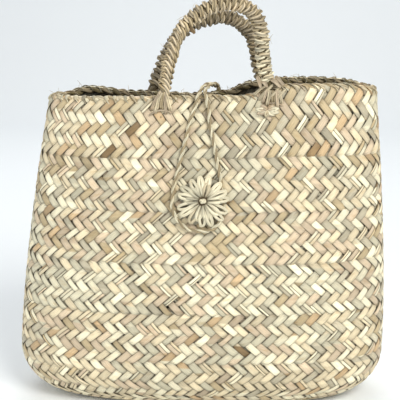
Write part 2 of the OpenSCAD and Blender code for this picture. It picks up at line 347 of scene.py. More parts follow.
def add_wisps(strands, roots, length):
    """Fine loose fibres that stand off the leaf at each root."""
    for root in roots:
        away = unit(rng.normal(0, 1, 3) * [1, 0.5, 1])
        curl = rng.normal(0, 0.35, 3) * length
        reach = length * rng.uniform(0.5, 1.2)
        u = np.linspace(0, 1, 12)[:, None]
        path = np.array(root) - away + away * reach * u + curl * u * u
        add_tube(strands, path, rng.uniform(0.14, 0.24), STRAW * rng.uniform(0.45, 0.9),
                 sides=6, taper=6)


# ---- colours and materials ----

def paint(red, green, blue):
    """Linear colour from the 0 to 255 values that it shows as."""
    c = np.array([red, green, blue]) / 255
    return np.where(c <= 0.04045, c / 12.92, ((c + 0.055) / 1.055) ** 2.4)


STRAW = paint(232, 216, 181)
CREAM = paint(248, 238, 206)
SAGE = paint(215, 207, 179)
GREY_GREEN = paint(197, 187, 161)
PINK_TAN = paint(217, 197, 167)
ORANGE = paint(206, 178, 138)
BROWN = paint(140, 116, 82)
OLIVE = paint(132, 118, 80)
KHAKI = paint(196, 177, 140)
PALETTE = np.array([STRAW, CREAM, SAGE, GREY_GREEN, PINK_TAN, ORANGE, KHAKI, BROWN])


def pick_tints(shape, weights):
    """Random palette colours; weights give how often each one comes up."""
    share = np.array(weights, float) / np.sum(weights)
    return PALETTE[rng.choice(len(PALETTE), size=shape, p=share)]


def palm_material(name, streak=0.35, roughness=0.5, bump=0.25, fuzz=2.4, dark=0.55):
    """Dry palm leaf: the strand's own colour, streaked along its fibres."""
    material = bpy.data.materials.new(name)
    material.use_nodes = True
    nodes, links = material.node_tree.nodes, material.node_tree.links
    shader = nodes["Principled BSDF"]
    shader.inputs["Roughness"].default_value = roughness
    shader.inputs["Specular IOR Level"].default_value = 0.35

    tint = nodes.new("ShaderNodeAttribute")
    tint.attribute_name = "tint"
    fibre = nodes.new("ShaderNodeAttribute")
    fibre.attribute_name = "fibre"
    stretch = nodes.new("ShaderNodeVectorMath")
    stretch.operation = "MULTIPLY"
    stretch.inputs[1].default_value = (0.05, 1.0, 1.0)
    links.new(fibre.outputs["Vector"], stretch.inputs[0])

    streaks = nodes.new("ShaderNodeTexNoise")
    streaks.inputs["Scale"].default_value = fuzz
    streaks.inputs["Detail"].default_value = 4
    links.new(stretch.outputs[0], streaks.inputs["Vector"])
    blotch = nodes.new("ShaderNodeTexNoise")
    blotch.inputs["Scale"].default_value = 0.09
    blotch.inputs["Detail"].default_value = 2
    links.new(fibre.outputs["Vector"], blotch.inputs["Vector"])

    spread = nodes.new("ShaderNodeMapRange")
    spread.inputs["From Min"].default_value = 0.3
    spread.inputs["From Max"].default_value = 0.7
    spread.inputs["To Min"].default_value = 1 - streak
    spread.inputs["To Max"].default_value = 1 + streak * 0.4
    links.new(streaks.outputs["Fac"], spread.inputs["Value"])
    darker = nodes.new("ShaderNodeMix")
    darker.data_type = "RGBA"
    darker.blend_type = "MULTIPLY"
    darker.inputs["Factor"].default_value = 1.0
    links.new(tint.outputs["Color"], darker.inputs["A"])
    links.new(spread.outputs["Result"], darker.inputs["B"])

    stain = nodes.new("ShaderNodeMapRange")
    stain.inputs["From Min"].default_value = 0.55
    stain.inputs["From Max"].default_value = 0.75
    stain.inputs["To Max"].default_value = dark
    links.new(blotch.outputs["Fac"], stain.inputs["Value"])
    stained = nodes.new("ShaderNodeMix")
    stained.data_type = "RGBA"
    stained.blend_type = "MULTIPLY"
    stained.inputs["B"].default_value = (0.80, 0.66, 0.48, 1)
    links.new(stain.outputs["Result"], stained.inputs["Factor"])
    links.new(darker.outputs["Result"], stained.inputs["A"])
    links.new(stained.outputs["Result"], shader.inputs["Base Color"])

    height = nodes.new("ShaderNodeBump")
    height.inputs["Strength"].default_value = bump
    height.inputs["Distance"].default_value = 0.0004
    links.new(streaks.outputs["Fac"], height.inputs["Height"])
    links.new(height.outputs["Normal"], shader.inputs["Normal"])
    return material


LEAF = palm_material("palm_leaf", streak=0.26)
CORD = palm_material("palm_cord", streak=0.45, roughness=0.6, bump=0.5)
ROPE = palm_material("palm_rope", streak=0.5, roughness=0.6, bump=0.6)
PETAL = palm_material("palm_petal", streak=0.3, roughness=0.5, bump=0.35, dark=0.25)

# ---- closure cord: it runs from the knot on the rear rim to the rosette and back ----

CORD_D = 4.2
STRAP_LEFT = [[14, 15, 355], [11, 8, 358], [8, 1, 359], [5, -7, 359], [2, -14, 357],
              [0, -20, 354]]
STRAP_RIGHT = [[19, 15, 355], [16, 8, 358], [13, 1, 359], [10, -7, 359], [7, -14, 357],
               [5, -20, 354]]
BIGHT = [[0, -22, 354], [-2, -27, 351], [-4, -29, 345], [-6, -30, 337], [-10, -34, 326],
         [-15, -41, 306], [-20, -47, 286], [-25, -53, 266], [-28, -56, 251], [-29, -59, 237],
         [-24, -62, 224], [-13, -64, 214], [2, -64, 211], [15, -64, 214], [23, -61, 224],
         [26, -58, 237], [24, -55, 250], [22, -51, 266], [18, -46, 286], [14, -40, 306],
         [10, -34, 326], [9, -30, 337], [7, -29, 345], [6, -27, 351], [5, -22, 354]]
CORD_KNOT = (16.5, 20.7, 354.7)
CORD_PITCH = 17
CORD_PLY_R, CORD_PLY_OFF = 0.32 * CORD_D, 0.25 * CORD_D


def make_closure_cord():
    route = smooth_path(STRAP_LEFT + BIGHT[1:-1] + STRAP_RIGHT[::-1], 8)
    path = resample(route, 1.2)
    length = path_length(path)
    shade = 0.5 + 0.5 * np.sin(length / 23)[:, None]
    pale = np.array(CREAM) * (0.92 + 0.08 * shade)
    tan = np.array(KHAKI) * (0.94 - 0.16 * shade)
    strands = Strands()
    add_twist(strands, path, 2, CORD_PLY_R, CORD_PLY_OFF, CORD_PITCH, [pale, tan],
              sides=10, lobes=3, spin=0.5, lobe=0.12, groove=0.45)
    cord = strands.make("closure_cord", CORD, None, "closure_cord", "closure_strap",
                        "closure_bight", ride=False)
    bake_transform(cord)


make_closure_cord()

# ---- plaited courses ----

MID = 2.0               # depth of the plait's middle below the outer face
HEAVE = 1.25            # how far a strip rises and dives as it passes over and under
STRIP_T = 0.5           # thickness of a strip
CROWN = 0.45            # how much a strip bulges along its middle
ALONG = 6               # points along a strip to each row
LAP = 0.3               # rows by which a course reaches in under its neighbours
FOLD = 0.55             # rows by which the top course folds over the rim
WEAVE_START = 0.75      # rows into its pattern that each course starts
ROWS = [4, 4, 5, 5, 5, 5, 5]
COLUMN_W = [12.0, 12.0, 12.2, 11.8, 11.5, 11.1, 10.8]
ACROSS = np.array([-1.0, -0.8, -0.3, 0.3, 0.8, 1.0])
UNDER = [0, len(ACROSS) - 1]
EDGE_SHADE = 0.62       # painted shade: how much darker the very edge of a strip is, for the dark gaps between strips
DIVE_SHADE = 0.52       # and painted shade on the ends that dive under the next strip


def row_edges():
    """Rows where the courses meet, from the floor's edge to the rim."""
    tops = [FOOT_TOP + i * COURSE_H for i in range(COURSES - FOOT_COURSES)] + [WALL_H]
    return [-FOOT_ROWS, -FOOT_ROWS / 2] + [row_of(z) for z in tops]


def strip_tints(count, rows, zone):
    """Colours of strips at each point along them: a new leaf starts every few rows."""
    pieces = pick_tints((count, 8), zone)
    start = rng.uniform(0, 6, count)[:, None]
    place = rows[None] - rows[0] + start
    piece = np.clip((place / 4.5).astype(int), 0, 7)
    tint = pieces[np.arange(count)[:, None], piece]
    steps = rng.normal(1, 0.09, (count, 12))
    level = steps[np.arange(count)[:, None], np.clip((place / 2).astype(int), 0, 11)]
    return tint * (rng.normal(1, 0.07, (count, 1)) * level)[..., None]


def weave_height(distance, k=2.0):
    """Height of a strip, from -1 to 1, along a distance in crossings; it repeats every 4."""
    return np.tanh(k * np.sin(math.pi / 2 * (distance + 0.5))) / math.tanh(k)


def ribbon_rings(place, rows, width, offset, strip, direction, ends, first):
    """Closed ribbons; place(column, row) gives middle points and normals.

    width and offset: (ribbons, along) in columns; the offset is from the strip's own
    column, and the ribbon leans one column to a row. The course runs between two ends,
    in rows, and first is 1 if the strips leaning right lie over in its first row. Also
    gives how far across each point is and how high the strip stands there.
    """
    half = width[..., None] / 2 * ACROSS
    aside = offset[..., None] + half
    turned = rows[None, :, None] + WEAVE_START - first
    column = strip[:, None, None] + aside + direction * turned
    row = np.broadcast_to(rows[None, :, None], column.shape)
    wave = weave_height(direction * aside + 2 * turned) * direction
    beyond = np.maximum(ends[0] - row, row - ends[1])
    over_low = (direction > 0) == bool(first)
    over_high = over_low if (ends[1] - ends[0]) % 2 else not over_low
    over = np.where(row < sum(ends) / 2, over_low, over_high)
    wave = np.where(over, wave - np.clip(beyond / LAP, 0, 1),
                    np.where(beyond > -0.35, np.minimum(wave, -0.7), wave))
    middle, normal = place(column, row)
    lift = HEAVE * wave + CROWN * (1 - np.abs(ACROSS) ** 3)
    top = middle + normal * (lift + STRIP_T / 2)[..., None]
    low = middle + normal * (lift - STRIP_T / 2)[..., None]
    rings = np.concatenate([top, low[:, :, ::-1][:, :, UNDER]], 2)
    return rings, round_ribbon(half), round_ribbon(wave)


def round_ribbon(values):
    """Values across a ribbon's top, with those of its two lower edges added."""
    return np.concatenate([values, values[..., ::-1][..., UNDER]], 2)


def ribbon_shade(around, width, wave):
    """Painted shade at a strip's edges and where it dives under the next."""
    edge = np.abs(around / width[..., None] * 2) ** 8
    dive = np.clip(0.5 - wave, 0, 1)
    return (1 - EDGE_SHADE * edge) * (1 - DIVE_SHADE * dive)


def split_some(count, rows):
    """Column, offset and width of each ribbon; some strips are split along their length."""
    strip = np.arange(count, dtype=float)
    width = rng.normal(0.96, 0.035, count)
    narrow = rng.random(count) < 0.08
    width[narrow] = rng.uniform(0.66, 0.82, narrow.sum())
    wander = 0.055 * np.sin(rows[None] * rng.uniform(0.5, 1.6, (count, 1))
                           + rng.uniform(0, 6, (count, 1)))
    offset = wander + rng.normal(0, 0.025, (count, 1))
    width = width[:, None] * (1 + 0.04 * np.sin(rows[None] * 2.3
                                               + rng.uniform(0, 6, (count, 1))))
    split = rng.random(count) < 0.15
    cut = rng.uniform(0.3, 0.7, count)[:, None]
    left = offset - width / 2 + width * cut / 2
    right = offset + width / 2 - width * (1 - cut) / 2
    offsets = np.concatenate([offset[~split], left[split], right[split]])
    widths = np.concatenate([width[~split], (width * cut - 0.04)[split],
                             (width * (1 - cut) - 0.04)[split]])
    return np.concatenate([strip[~split], strip[split], strip[split]]), offsets, widths


# How often each palette colour comes up in a course, lowest course first
ZONES = [[6, 4, 1.0, 0.6, 1.6, 0.3, 0.8, 0.10], [6, 4, 1.2, 0.6, 1.6, 0.3, 0.8, 0.10],
         [5, 4, 1.5, 1.0, 2.6, 0.6, 1.0, 0.15], [4, 5, 3.0, 1.2, 1.6, 0.4, 0.8, 0.10],
         [4, 3, 1.8, 1.2, 3.0, 0.9, 1.4, 0.20], [4, 3, 2.2, 1.6, 1.8, 0.5, 1.4, 0.15],
         [4, 3, 2.2, 1.8, 1.4, 0.5, 1.4, 0.10]]


def pinch_shade(points):
    """Painted shade: the plait is darker where it is drawn in below the mouth, where the hollow
    lies in shade.
    """
    x, z = points[..., 0], points[..., 2]
    drawn = np.exp(-((x - 5) / 42) ** 2) * np.clip((z - 235) / 50, 0, 1)
    return (1 - 0.20 * drawn)[..., None]


def make_course(i, low, high, first):
    length, angle = girth_table((low + high) / 2)
    columns = int(round(length[-1] / COLUMN_W[i]))
    count = ROWS[i]
    last = i == COURSES - 1
    ends = 0 if i == 0 else -LAP, count + (FOLD if last else LAP)
    rows = np.linspace(ends[0], ends[1], int(round((ends[1] - ends[0]) * ALONG)) + 1)
    rim_row = row_of(WALL_H)

    def place(column, row):
        share = np.mod(column / columns, 1.0) * length[-1]
        t = np.interp(share, length, angle)
        real = low + row * (high - low) / count
        fold = np.maximum(0, real - rim_row) if last else 0 * row
        eps = 0.01

        def at(angle_at, row_at, fold_at):
            return skin(angle_at, np.minimum(row_at, rim_row), MID + ROW_H * fold_at) \
                + (1.6 * np.sin(fold_at * 3) * (fold_at > 0))[..., None] * [0, 0, 1]

        here = at(t, real, fold)
        du = at(t + eps, real, fold) - here
        dv = here - at(t, real - eps, np.maximum(0, fold - eps))
        flat = np.abs(du).max(-1) < 1e-6
        normal = unit(np.cross(du, dv))
        normal[flat] = unit(here[flat] * [1, 1, 0])
        return here, normal

    strands = Strands()
    for direction in (1, -1):
        strip, offsets, widths = split_some(columns, rows)
        rings, around, wave = ribbon_rings(place, rows, widths, offsets, strip, direction,
                                           (0, 99 if last else count), first)
        tint = strip_tints(len(strip), rows, ZONES[i])[:, :, None]
        shade = ribbon_shade(around, widths, wave)[..., None] * pinch_shade(rings)
        along = rows[None, :, None] * COLUMN_W[i] * 1.41 + 0 * around
        seed = rng.uniform(0, 900, (len(strip), 1, 1))
        fibre = np.stack([along, around * COLUMN_W[i] * 0.7 + seed, 0 * around], -1)
        strands.add(rings, tint * shade, fibre)
    strands.make("plait_%d" % (i + 1), LEAF, "basket", "palm_plait", "band_%d" % (i + 1))


edges = row_edges()
for i in range(COURSES):
    # strips leaning right end on top at the rim
    make_course(i, edges[i], edges[i + 1], first=sum(ROWS[i:]) % 2)

# ---- floor ----


def make_floor():
    """The same plait laid flat; strips run corner to corner and stop at the floor's edge."""
    strands = Strands()
    size = COLUMN_W[0]
    reach = 40

    def inside(x, y):
        return (np.abs(x) / (FLOOR_W / 2 + 1)) ** FOOT_SQUARE \
            + (np.abs(y) / (FLOOR_D / 2 + 1)) ** FOOT_SQUARE < 1

    fine = np.linspace(-reach, reach, 1601)
    for direction in (1, -1):
        for n in range(-reach, reach):
            x = (n + direction * (fine + WEAVE_START)) * size
            keep = fine[inside(x, fine * size)]
            if len(keep) < 12:
                continue
            rows = np.linspace(keep[0], keep[-1], max(4, int((keep[-1] - keep[0]) * ALONG)))

            def place(column, row):
                middle = np.stack([column * size, row * size, MID + 0.4 + 0 * row], -1)
                return middle, np.broadcast_to([0, 0, 1.0], middle.shape)

            width = np.full((1, len(rows)), 0.95)
            rings, around, wave = ribbon_rings(place, rows, width, 0 * width,
                                               np.array([float(n)]), direction, (-99, 99), 0)
            tint = strip_tints(1, rows, ZONES[0])[:, :, None]
            shade = ribbon_shade(around, width, wave)[..., None]
            fibre = np.stack([rows[None, :, None] * size * 1.41 + 0 * around,
                              around * size * 0.7 + rng.uniform(0, 900), 0 * around], -1)
            strands.add(rings, tint * shade, fibre)
    strands.make("floor_plait", LEAF, "basket", "palm_plait", "base_panel")


make_floor()

# ---- seams and rim ----


def ring_path(row, inset, step):
    """Closed path round the basket at one row."""
    length, angle = girth_table(row)
    count = int(round(length[-1] / step))
    t = np.interp(np.arange(count + 1) / count * length[-1], length, angle)
    return skin(t, np.full_like(t, row), inset)


def make_seam(i):
    row = edges[i]
    if i == 0:
        path = ring_path(row + 0.02, 2, 3)
        path[:, 2] = 6.8
    else:
        path = ring_path(row, 3.6, 3)
    strands = Strands()
    add_twist(strands, path, 2, 0.8, 0.7, 9, [BROWN, KHAKI], sides=6, taper=0)
    strands.make("seam_%d" % i, CORD, "basket", "seam_cord", "seam_cord_%d" % i)


for i in range(COURSES):
    make_seam(i)


RIM_ROPE_IN = 5.6       # how far the rim rope lies in from the outer face

# A leaf over the rope: [height from the rim, inset, shift round the rim] at each point
OVERCAST = [[-5, 0.6, 7], [-1, 0.3, 5], [2.2, 1.6, 3], [4.2, 5.0, 0], [2.6, 8.6, -3],
            [-2, 9.4, -5]]


def rim_rope_tints(path):
    """Pale along the front; olive and darker where the rear is seen from inside, partly its own
    colour and partly painted shade.
    """
    shade = np.clip(0.5 - path[:, 1] / 30, 0, 1)[:, None]
    light = (1 + 0.12 * np.sin(path[:, 0] / 13))[:, None]
    return [(KHAKI * 0.7 * (1 - shade) + STRAW * 1.05 * shade) * light,
            (OLIVE * 0.95 * (1 - shade) + KHAKI * 1.1 * shade) * light]


def make_rim():
    """A two-ply rope inside the rim, overcast with narrow leaves."""
    path = ring_path(row_of(WALL_H), RIM_ROPE_IN, 2)
    path[:, 2] += 0.6 * np.sin(path[:, 0] / 9.0)
    strands = Strands()
    add_twist(strands, path, 2, 2.4, 1.9, 24, rim_rope_tints(path), sides=12, lobes=4,
              spin=0.35, lobe=0.14, taper=0, groove=0.5)

    length, angle = girth_table(row_of(WALL_H))
    count = int(round(length[-1] / COLUMN_W[-1]))
    for n in range(count):
        share = (n + rng.uniform(-0.2, 0.2)) / count * length[-1]
        sway = rng.uniform(0.8, 1.2)
        route = []
        for z, inset, shift in OVERCAST:
            t = np.interp((share + shift * sway) % length[-1], length, angle)
            point = slumped(wall_pt(np.array(float(WALL_H)), np.array(t), inset))
            route.append(point + [0, 0, z + rng.uniform(-0.3, 0.3)])
        # painted shade: the leaves over the rear rim, seen from inside, are darker than those
        # at the front
        front = np.clip(0.5 - route[0][1] / 30, 0, 1)
        tint = pick_tints((), ZONES[-1]) * (0.6 + 0.32 * front) * rng.uniform(0.8, 1.1)
        add_tube(strands, resample(smooth_path(route, 5), 1.2), rng.uniform(1.5, 2.3), tint,
                 sides=8, flat=0.3, lobes=2, spin=0.1, normals=np.array([[0, 0.3, 1.0]]))
    crest = ring_path(row_of(WALL_H), 4.5, 2) + [0, 0, 4.5]
    add_wisps(strands, crest[rng.integers(0, len(crest), 44)], 6)
    strands.make("rim_rope", ROPE, "basket", "rim_braid", "rim_binding")


make_rim()

# ---- handles ----

ARCH_R, ARCH_H, REAR_WIDER, REAR_DROP = 45, 101, 5, 18
LEG_FLARE, REAR_FLARE = math.radians(13), math.radians(18)
FRONT_X, REAR_X, FRONT_SKEW, REAR_SKEW = 18, 8, 11, 12
FOOT_GAP = 2.0
SOFT_BOW = 3.0          # how far the front legs sag to the left, halfway up
CORE_PLY_R, CORE_PLY_OFF, CORE_PITCH = 2.8, 2.5, 32
WIND_R = 4.9            # from the middle of the rope to that of the cord wound round it
WIND_PLY_R, WIND_PLY_OFF, WIND_PITCH = 1.95, 1.5, 7.0
WIND_STEPS = 32         # points to a turn
STUB_AT, STUB_IN = -47.0, 7.5


class Arch:
    """A handle's centreline, as in the CAD but for the front's sag; side -1 is the front."""

    def __init__(self, side):
        self.side = side
        self.middle = FRONT_X if side < 0 else REAR_X
        self.r = ARCH_R if side < 0 else ARCH_R + REAR_WIDER
        self.h = ARCH_H if side < 0 else ARCH_H - REAR_DROP
        self.skew = FRONT_SKEW if side < 0 else REAR_SKEW
        self.flare = LEG_FLARE if side < 0 else REAR_FLARE
        self.leg = self.h - self.r * (1 - math.sin(self.flare))
        self.foot = self.r * math.cos(self.flare) + self.leg * math.tan(self.flare)
        self.bend = self.r * (math.pi / 2 - self.flare)
        self.half = self.bend + (self.leg - RIM_R - FOOT_GAP) / math.cos(self.flare)
        feet = [face_y(self.middle + f * self.foot, WALL_H) for f in (-1, 1)]
        self.y = side * (feet[0] + feet[1] - 5) / 2

    def at(self, s):
        """Points s millimetres along from the top."""
        straight = np.maximum(0, np.abs(s) - self.bend)
        a = np.minimum(np.abs(s), self.bend) / self.r
        x = np.sign(s) * (self.r * np.sin(a) + straight * math.sin(self.flare))
        z = self.h - self.r * (1 - np.cos(a)) - straight * math.cos(self.flare)
        x = x + self.skew * (z / self.h) ** 2 + self.middle
        if self.side < 0:
            x = x - SOFT_BOW * np.sin(math.pi * np.clip(z / self.h, 0, 1)) ** 2
        return np.stack([x, self.y + 0 * s, z + WALL_H], -1)

    def out(self, s):
        """Direction away from the arch's middle, square to the centreline."""
        d = unit(self.at(s + 0.5) - self.at(s - 0.5))
        return np.stack([-d[..., 2], 0 * s, d[..., 0]], -1)


def make_core(arch, name, body):
    """Rope core, which runs on down into the rim."""
    s = np.linspace(-arch.half - 9, arch.half + 9, 150)
    core = Strands()
    # painted shade: the core is dark so it reads as shadow where it shows between the turns of
    # the wound cord
    add_twist(core, arch.at(s), 3, CORE_PLY_R, CORE_PLY_OFF, CORE_PITCH,
              [KHAKI * 0.45, BROWN * 0.6, OLIVE * 0.6], sides=8, lobes=4, spin=0.5)
    obj = core.make(name + "_handle_rope", ROPE, body, "rope_core", body + "_core",
                    ride=False)
    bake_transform(obj)


def wind_cord(wrap, arch, front):
    """Two-ply cord wound round the rope: slanting on the front's left leg, in level beads
    on its right one."""
    fine = np.linspace(-arch.half + 1.5, arch.half - (13 if front else 4), 2400)
    right = np.clip((fine - 45) / 25, 0, 1) * front
    left = np.clip((-fine - 40) / 25, 0, 1) * front
    pitch = WIND_PITCH + 1.0 * right - 0.8 * left
    wound = np.concatenate([[0], np.cumsum(2 * math.pi * np.diff(fine) / pitch[:-1])])
    turn = np.linspace(0, wound[-1], int(wound[-1] / (2 * math.pi) * WIND_STEPS))
    s = np.interp(turn, wound, fine)
    right = np.interp(s, fine, right)
    left = np.interp(s, fine, left)
    thick = 1.04 + 0.04 * right - 0.1 * left + 0.05 * np.sin(turn * 0.31) \
        + 0.04 * np.sin(turn * 0.83)
    slant = 1.5 + 4.5 * left - 1.5 * right
    lean = s - slant * np.cos(turn + 2.4)
    around = np.cos(turn)[:, None] * arch.out(lean) + np.sin(turn)[:, None] * [0, -1, 0]
    path = arch.at(lean) + (WIND_R * thick)[:, None] * around
    level = np.clip(rng.normal(1, 0.2, len(turn) // 10 + 2), 0.6, 1.3)
    light = np.interp(np.arange(len(turn)) / 10, np.arange(len(level)), level)[:, None]
    warm = (1 - right)[:, None]
    # painted shade: the rear handle's cord is darker as it stands in shade behind the front
    # handle; the front's is only a lighter tint
    deep = 1.12 if front else 0.72
    tints = [(CREAM * (1 - warm) + (PINK_TAN + STRAW) * 0.5 * warm) * light * deep,
             (STRAW * (1 - warm) + KHAKI * warm) * light * deep]
    add_twist(wrap, path, 2, WIND_PLY_R * thick, WIND_PLY_OFF * thick, 0, tints,
              normals=around, turn=2 * turn + 0.05 * s * (1 - right), phase=1.2, sides=12,
              lobes=3, spin=0.3, lobe=0.18, groove=0.7)


def add_stub(wrap, arch):
    """A snapped end of the cord under the front arch."""
    at = np.array([STUB_AT])
    stub = arch.at(at)[0] - STUB_IN * arch.out(at)[0]
    ends = [stub + np.array([-3, -3, 2.5]), stub, stub + np.array([3.5, -1.5, -4])]
    for shift in (0, 1.1):
        add_tube(wrap, resample(smooth_path(ends, 5), 0.8) + [shift, 0, shift * 0.6], 1.0,
                 BROWN * 1.1, sides=8, lobes=3, spin=0.4)


def make_handle(side, name):
    arch = Arch(side)
    body = name + "_handle"
    make_core(arch, name, body)
    wrap = Strands()
    wind_cord(wrap, arch, side < 0)
    if side < 0:
        add_stub(wrap, arch)
    add_wisps(wrap, [arch.at(np.array([v]))[0] + 8 * arch.out(np.array([v]))[0]
                     for v in rng.uniform(-arch.half + 10, arch.half - 15, 9)], 7)
    wrap.make(name + "_handle_wound_cord", ROPE, body, "handle_wrap", body + "_wrap")
    return arch


ARCHES = {-1: make_handle(-1, "front"), 1: make_handle(1, "rear")}

# ---- lashings at the handles' feet ----

TIE_Z = WALL_H - 17     # height at which the ties go through to their knots
KNOT_IN = 11.4          # how far the knots lie in from the outer face


def outside(x, z, side, off):
    """Point off the outer face of the front or rear wall."""
    return [x, side * (face_y(x, z) + off), z]


# Each tie: [place along the foot at the rim, place and drop below where it goes in]
TIES = [[-7, -11, 8], [-4, -7, 11], [0, -1, 7], [3, 4, 12], [6, 8, 8]]


def add_leaf(strands, route, width, tint, flat=0.4):
    """Flat split leaf, facing the way the wall does."""
    path = resample(smooth_path(route, 6), 1.1)
    facing = np.array([[0, float(np.sign(path[:, 1].mean())), 0.25]])
    add_tube(strands, path, width / 2, tint, sides=10, flat=flat, lobes=2, spin=0.15,
             normals=facing, groove=0.4)


def make_lashing(end, side, name):
    """Strands that spread from a leg over the rim and go in under the plait."""
    arch = ARCHES[side]
    foot = arch.middle + end * arch.foot
    y = arch.y
    lift = float(rim_lift(foot, y))
    strands = Strands()
    for k, (brink, spread, drop) in enumerate(TIES):
        route = [[foot + brink * 0.3 - end * 2.6, y - side * 1.5, WALL_H + 14],
                 [foot + brink * 0.5 - end * 1.2, y + side * 5.0, WALL_H + 8],
                 outside(foot + brink, WALL_H + 0.5, side, 3.0),
                 outside(foot + (brink + spread) / 2, WALL_H - drop * 0.5, side, 2.2),
                 outside(foot + spread, WALL_H - drop, side, 1.8),
                 outside(foot + spread, WALL_H - drop - 4, side, -2.4)]
        for point, share in zip(route[2:], (1, 0.85, 0.75, 0.7)):
            point[2] += lift * share
        tint = [PINK_TAN, STRAW, KHAKI][k % 3] * rng.uniform(0.7, 1.0)
        width = rng.uniform(2.0, 3.0)
        add_leaf(strands, route, width, tint)
        for point in route:
            point[0] += width * 0.75
            point[1] += side * 0.4
        add_leaf(strands, route, width * 0.6, tint * rng.uniform(0.8, 1.15))
    sill = [outside(foot + x, WALL_H - 10 - 0.03 * x * x + lift * 0.75, side, 1.9)
            for x in (-13, -8, -3, 2, 7, 11)]
    add_leaf(strands, sill, 2.2, PINK_TAN * 0.7)
    if (end, side) == (1, -1):
        add_straps(strands, foot, y)
        add_flower(strands, np.array(outside(foot - 6, WALL_H - 9, side, 3.4)), side)
    else:
        add_wisps(strands, [outside(foot, WALL_H + 2, side, 3)] * 5, 8)
    obj = strands.make("lashing_" + name, CORD, "basket", "lashing", "lashing_" + name,
                       ride=False)
    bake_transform(obj)


def add_straps(strands, foot, y):
    """Leaves laid slantwise over the right foot, between the wound cord and the rim."""
    down = [(-17, 26, -13, 14), (-13, 22, -6, 15), (-3, 24, 8, 15), (2, 26, 11, 17)]
    for x0, z0, x1, z1 in down:
        route = [[foot + x0, y - 3, WALL_H + z0], [foot + (x0 + x1) / 2, y - 8.5,
                 WALL_H + (z0 + z1) / 2 + 1], [foot + x1, y - 6, WALL_H + z1]]
        add_leaf(strands, route, rng.uniform(3.4, 4.4), PINK_TAN * rng.uniform(0.72, 0.95))
    up = [(-20, 8, -7, 17), (-15, 3, 0, 18), (-6, 2, 7, 15), (1, 1, 13, 13)]
    for x0, z0, x1, z1 in up:
        route = [outside(foot + x0, WALL_H + z0 - 2, -1, 2.4),
                 outside(foot + (x0 + x1) / 2, WALL_H + (z0 + z1) / 2, -1, 5.5),
                 [foot + x1, y - 5, WALL_H + z1]]
        add_leaf(strands, route, rng.uniform(2.6, 3.6),
                 (STRAW if rng.random() < 0.6 else PINK_TAN) * rng.uniform(0.75, 1.0))
    add_wisps(strands, [[foot + x, y - 7, WALL_H + 14] for x in (-8, -2, 2, 6, 9, 11)], 8)


def add_flower(strands, centre, side):
    """A knot of short leaf loops below the right foot."""
    petals = [[10, 12], [38, 8], [140, 8], [175, 12], [200, 11], [262, 7], [325, 9], [350, 12]]
    for angle, reach in petals:
        angle = math.radians(angle)
        tip = np.array([math.cos(angle), 0, math.sin(angle)]) * reach
        across = np.array([-math.sin(angle), 0, math.cos(angle)]) * 1.7
        rise_by = np.array([0, side * 2.0, 0])
        route = [centre, centre + tip * 0.5 + across + rise_by, centre + tip + rise_by * 0.4,
                 centre + tip * 0.5 - across + rise_by, centre]
        tint = [CREAM, STRAW, PINK_TAN][reach % 3] * rng.uniform(0.85, 1.0)
        add_leaf(strands, route, 2.6, tint, flat=0.5)


def knot_strands(centre, size, wire, tint):
    """A trefoil of cord, drawn up tight."""
    strands = Strands()
    u = np.linspace(0, 2 * math.pi, 90)
    path = np.stack([np.sin(u) + 2 * np.sin(2 * u), np.cos(u) - 2 * np.cos(2 * u),
                     -1.2 * np.sin(3 * u)], -1) * size / 3 + np.array(centre)
    add_tube(strands, path, wire, tint, sides=10, lobes=3, spin=0.8)
    return strands


def make_feet():
    """The lashing at each foot of the handles, and its knot inside."""
    places = [(-1, -1, "front_left"), (1, -1, "front_right"), (-1, 1, "rear_left"),
              (1, 1, "rear_right")]
    for end, side, name in places:
        make_lashing(end, side, name)
        arch = ARCHES[side]
        foot = arch.middle + end * arch.foot
        centre = [foot, side * (face_y(foot, TIE_Z) - KNOT_IN), TIE_Z]
        strands = knot_strands(centre, 3.4, 1.9, KHAKI)
        tie = [[foot - 1, centre[1], TIE_Z], outside(foot, TIE_Z, side, 1.6)]
        add_tube(strands, resample(np.array(tie, float), 2), 1.5, KHAKI)
        strands.make("knot_inside_" + name, CORD, "basket", "knot", "knot_" + name)


make_feet()


def make_cord_knot():
    """The cord's knot, and its tail that goes on down behind the soft rear rim."""
    x, y, z = CORD_KNOT
    knot = knot_strands(CORD_KNOT, 2.5, 1.5, KHAKI * 0.8)
    tail = [[x, y - 3, z - 0.5], [x + 2, y, z - 2.5], [x + 2.5, y + 1.5, z - 7],
            [x + 2, y + 1, z - 13], [x + 1.5, y, z - 18]]
    add_twist(knot, resample(smooth_path(tail, 6), 1), 2, 1.4, 1.1, CORD_PITCH,
              [STRAW * 0.85, KHAKI * 0.7], sides=10, lobes=3, spin=0.5)
    add_wisps(knot, [[x, y - 2, z + 1]] * 3, 9)
    knot.make("cord_knot", CORD, "basket", "knot", "closure_knot")


make_cord_knot()

# ---- rosette ----

ROSETTE_X, ROSETTE_Z = 4, 242

# Rounds of loops: [count, reach, height, half the opening in radians, leaf width, lightness,
# below 1 for painted shade]
ROUNDS = [[13, 24.5, 5.4, 0.16, 5.0, 0.38], [15, 27.8, 7.6, 0.125, 3.5, 1.0],
          [10, 21, 9.4, 0.15, 3.2, 1.0]]
SLOPE = math.atan((face_y(ROSETTE_X, ROSETTE_Z - 25) - face_y(ROSETTE_X, ROSETTE_Z + 25)) / 50)
AXIS = np.array([0, -math.cos(SLOPE), math.sin(SLOPE)])
UP = np.array([0, math.sin(SLOPE), math.cos(SLOPE)])
ACROSS_X = np.array([1.0, 0, 0])
CENTRE = np.array([ROSETTE_X, -face_y(ROSETTE_X, ROSETTE_Z), ROSETTE_Z])


def on_rosette(r, angle, h):
    """Point on the rosette: distance from its axis, angle, and height off the wall."""
    return CENTRE + r * (math.cos(angle) * ACROSS_X + math.sin(angle) * UP) + h * AXIS


